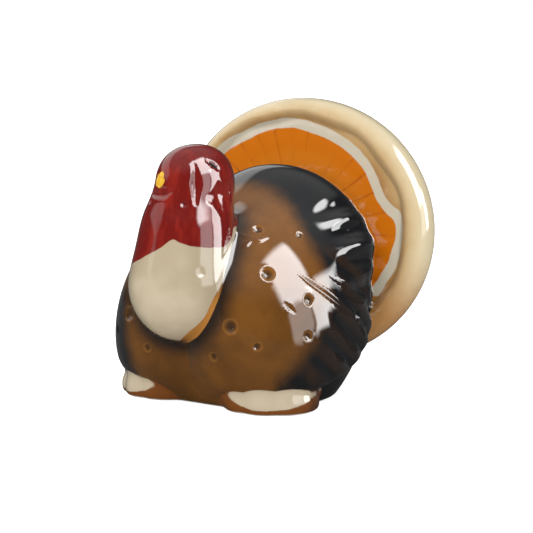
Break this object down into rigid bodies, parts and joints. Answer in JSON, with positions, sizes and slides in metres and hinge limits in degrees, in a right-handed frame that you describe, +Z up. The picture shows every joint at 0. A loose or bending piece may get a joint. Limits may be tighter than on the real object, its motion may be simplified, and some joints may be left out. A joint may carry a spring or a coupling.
{
  "type": "turkey figurine",
  "caption": "Free-standing glazed ceramic turkey figurine with an upright round tail fan, folded feathered wings, drop-shaped breast and red head, a small seasonal table ornament.",
  "frame": {"origin": "on the table plane, under the centre of the figure's bounding box", "axes": "+Z up; the bird faces -Y and its left side is +X; the tail fan stands across X at the +Y end"},
  "size_m": [0.0764, 0.0688, 0.0717],
  "materials": {
    "amber_glaze": "glossy amber-brown glaze running to black along the back",
    "cream_glaze": "glossy cream glaze",
    "red_glaze": "glossy deep red glaze, brushed",
    "yellow_glaze": "glossy yellow dab",
    "fan_glaze": "glossy orange glaze with a cream line and an ivory rim",
    "black_glaze": "glossy black",
    "feather_glaze": "glossy brown glaze running to black at the feather tips",
    "foot_glaze": "glossy cream toes under brown"
  },
  "bodies": {
    "root": {"body_shell": "amber_glaze", "breast": "cream_glaze", "head": "red_glaze", "beak": "yellow_glaze", "tail_fan": "fan_glaze", "left_eye": "black_glaze", "right_eye": "black_glaze", "left_wing": "feather_glaze", "right_wing": "feather_glaze", "left_foot": "foot_glaze", "right_foot": "foot_glaze"}
  },
  "joints": []
}
